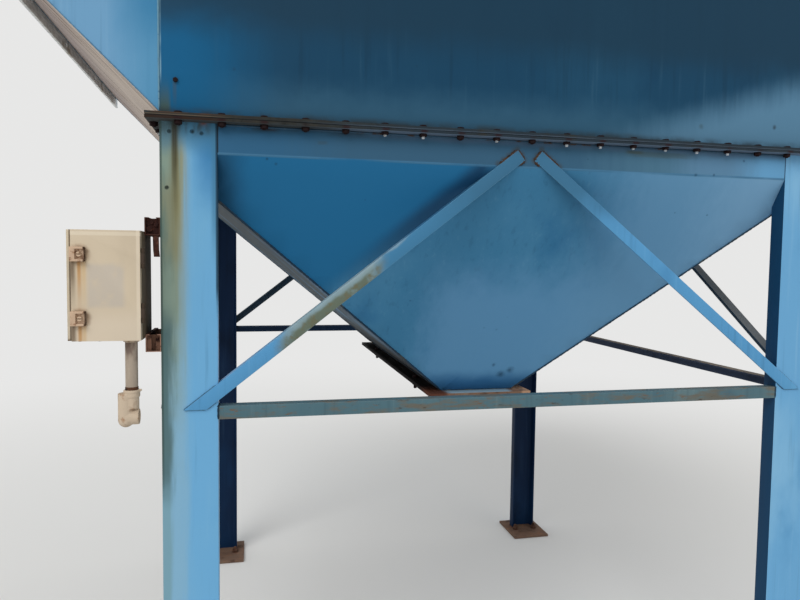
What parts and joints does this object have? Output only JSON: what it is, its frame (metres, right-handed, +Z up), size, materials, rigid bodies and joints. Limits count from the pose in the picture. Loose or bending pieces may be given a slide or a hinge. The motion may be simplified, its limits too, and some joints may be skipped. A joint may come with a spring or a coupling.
{
  "type": "hopper-bottom dust separator",
  "caption": "Rectangular dust separator with a bolted housing over a pyramid hopper, on braced channel legs, with duct transitions and a hinged control box.",
  "frame": {"origin": "on the ground, in the middle of the four legs", "axes": "+Z up, +X to the right along the front, the front faces -Y"},
  "size_m": [2.676, 2.086, 3.774],
  "materials": {
    "housing_paint": "weathered satin",
    "hopper_paint": "weathered satin",
    "frame_paint": "weathered satin",
    "rusty_lip": "rusted",
    "rusty_steel": "rusted",
    "rusty_bracket": "rusted",
    "box_paint": "semi-gloss, stained",
    "conduit_grey": "dull galvanized"
  },
  "bodies": {
    "separator": {"base_plate_front_left": "rusty_steel", "base_plate_front_right": "rusty_steel", "base_plate_back_left": "rusty_steel", "base_plate_back_right": "rusty_steel", "leg_front_left": "frame_paint", "leg_front_right": "frame_paint", "leg_back_left": "frame_paint", "leg_back_right": "frame_paint", "tie_front": "frame_paint", "tie_back": "frame_paint", "tie_left": "frame_paint", "tie_right": "frame_paint", "brace_front_left": "frame_paint", "brace_front_right": "frame_paint", "brace_back_left": "frame_paint", "brace_back_right": "frame_paint", "brace_left_front": "frame_paint", "brace_left_back": "frame_paint", "brace_right_front": "frame_paint", "brace_right_back": "frame_paint", "outlet_flange": "rusty_steel", "hopper_front": "hopper_paint", "hopper_back": "hopper_paint", "hopper_left": "hopper_paint", "hopper_right": "hopper_paint", "hopper_lip": "rusty_lip", "housing_lip": "rusty_lip", "housing_front": "housing_paint", "housing_back": "housing_paint", "housing_left": "housing_paint", "housing_right": "housing_paint", "housing_roof": "housing_paint", "inlet_front": "housing_paint", "inlet_back": "housing_paint", "inlet_top": "housing_paint", "inlet_bottom": "housing_paint", "inlet_flange": "rusty_steel", "outlet_duct_front": "housing_paint", "outlet_duct_back": "housing_paint", "outlet_duct_top": "housing_paint", "outlet_duct_bottom": "housing_paint", "outlet_duct_flange": "rusty_steel", "control_box": "box_paint", "box_struts": "rusty_bracket", "conduit_drop": "conduit_grey", "conduit_elbow": "conduit_grey"},
    "box_door": {"control_box_door": "box_paint", "door_clamps": "rusty_bracket"}
  },
  "joints": [
    {"name": "box_door_hinge", "type": "hinge", "parent": "separator", "child": "box_door", "pos_m": [-0.93, -1.026, 1.48], "axis": [0, 0, 1], "range_deg": [0, 110]}
  ]
}
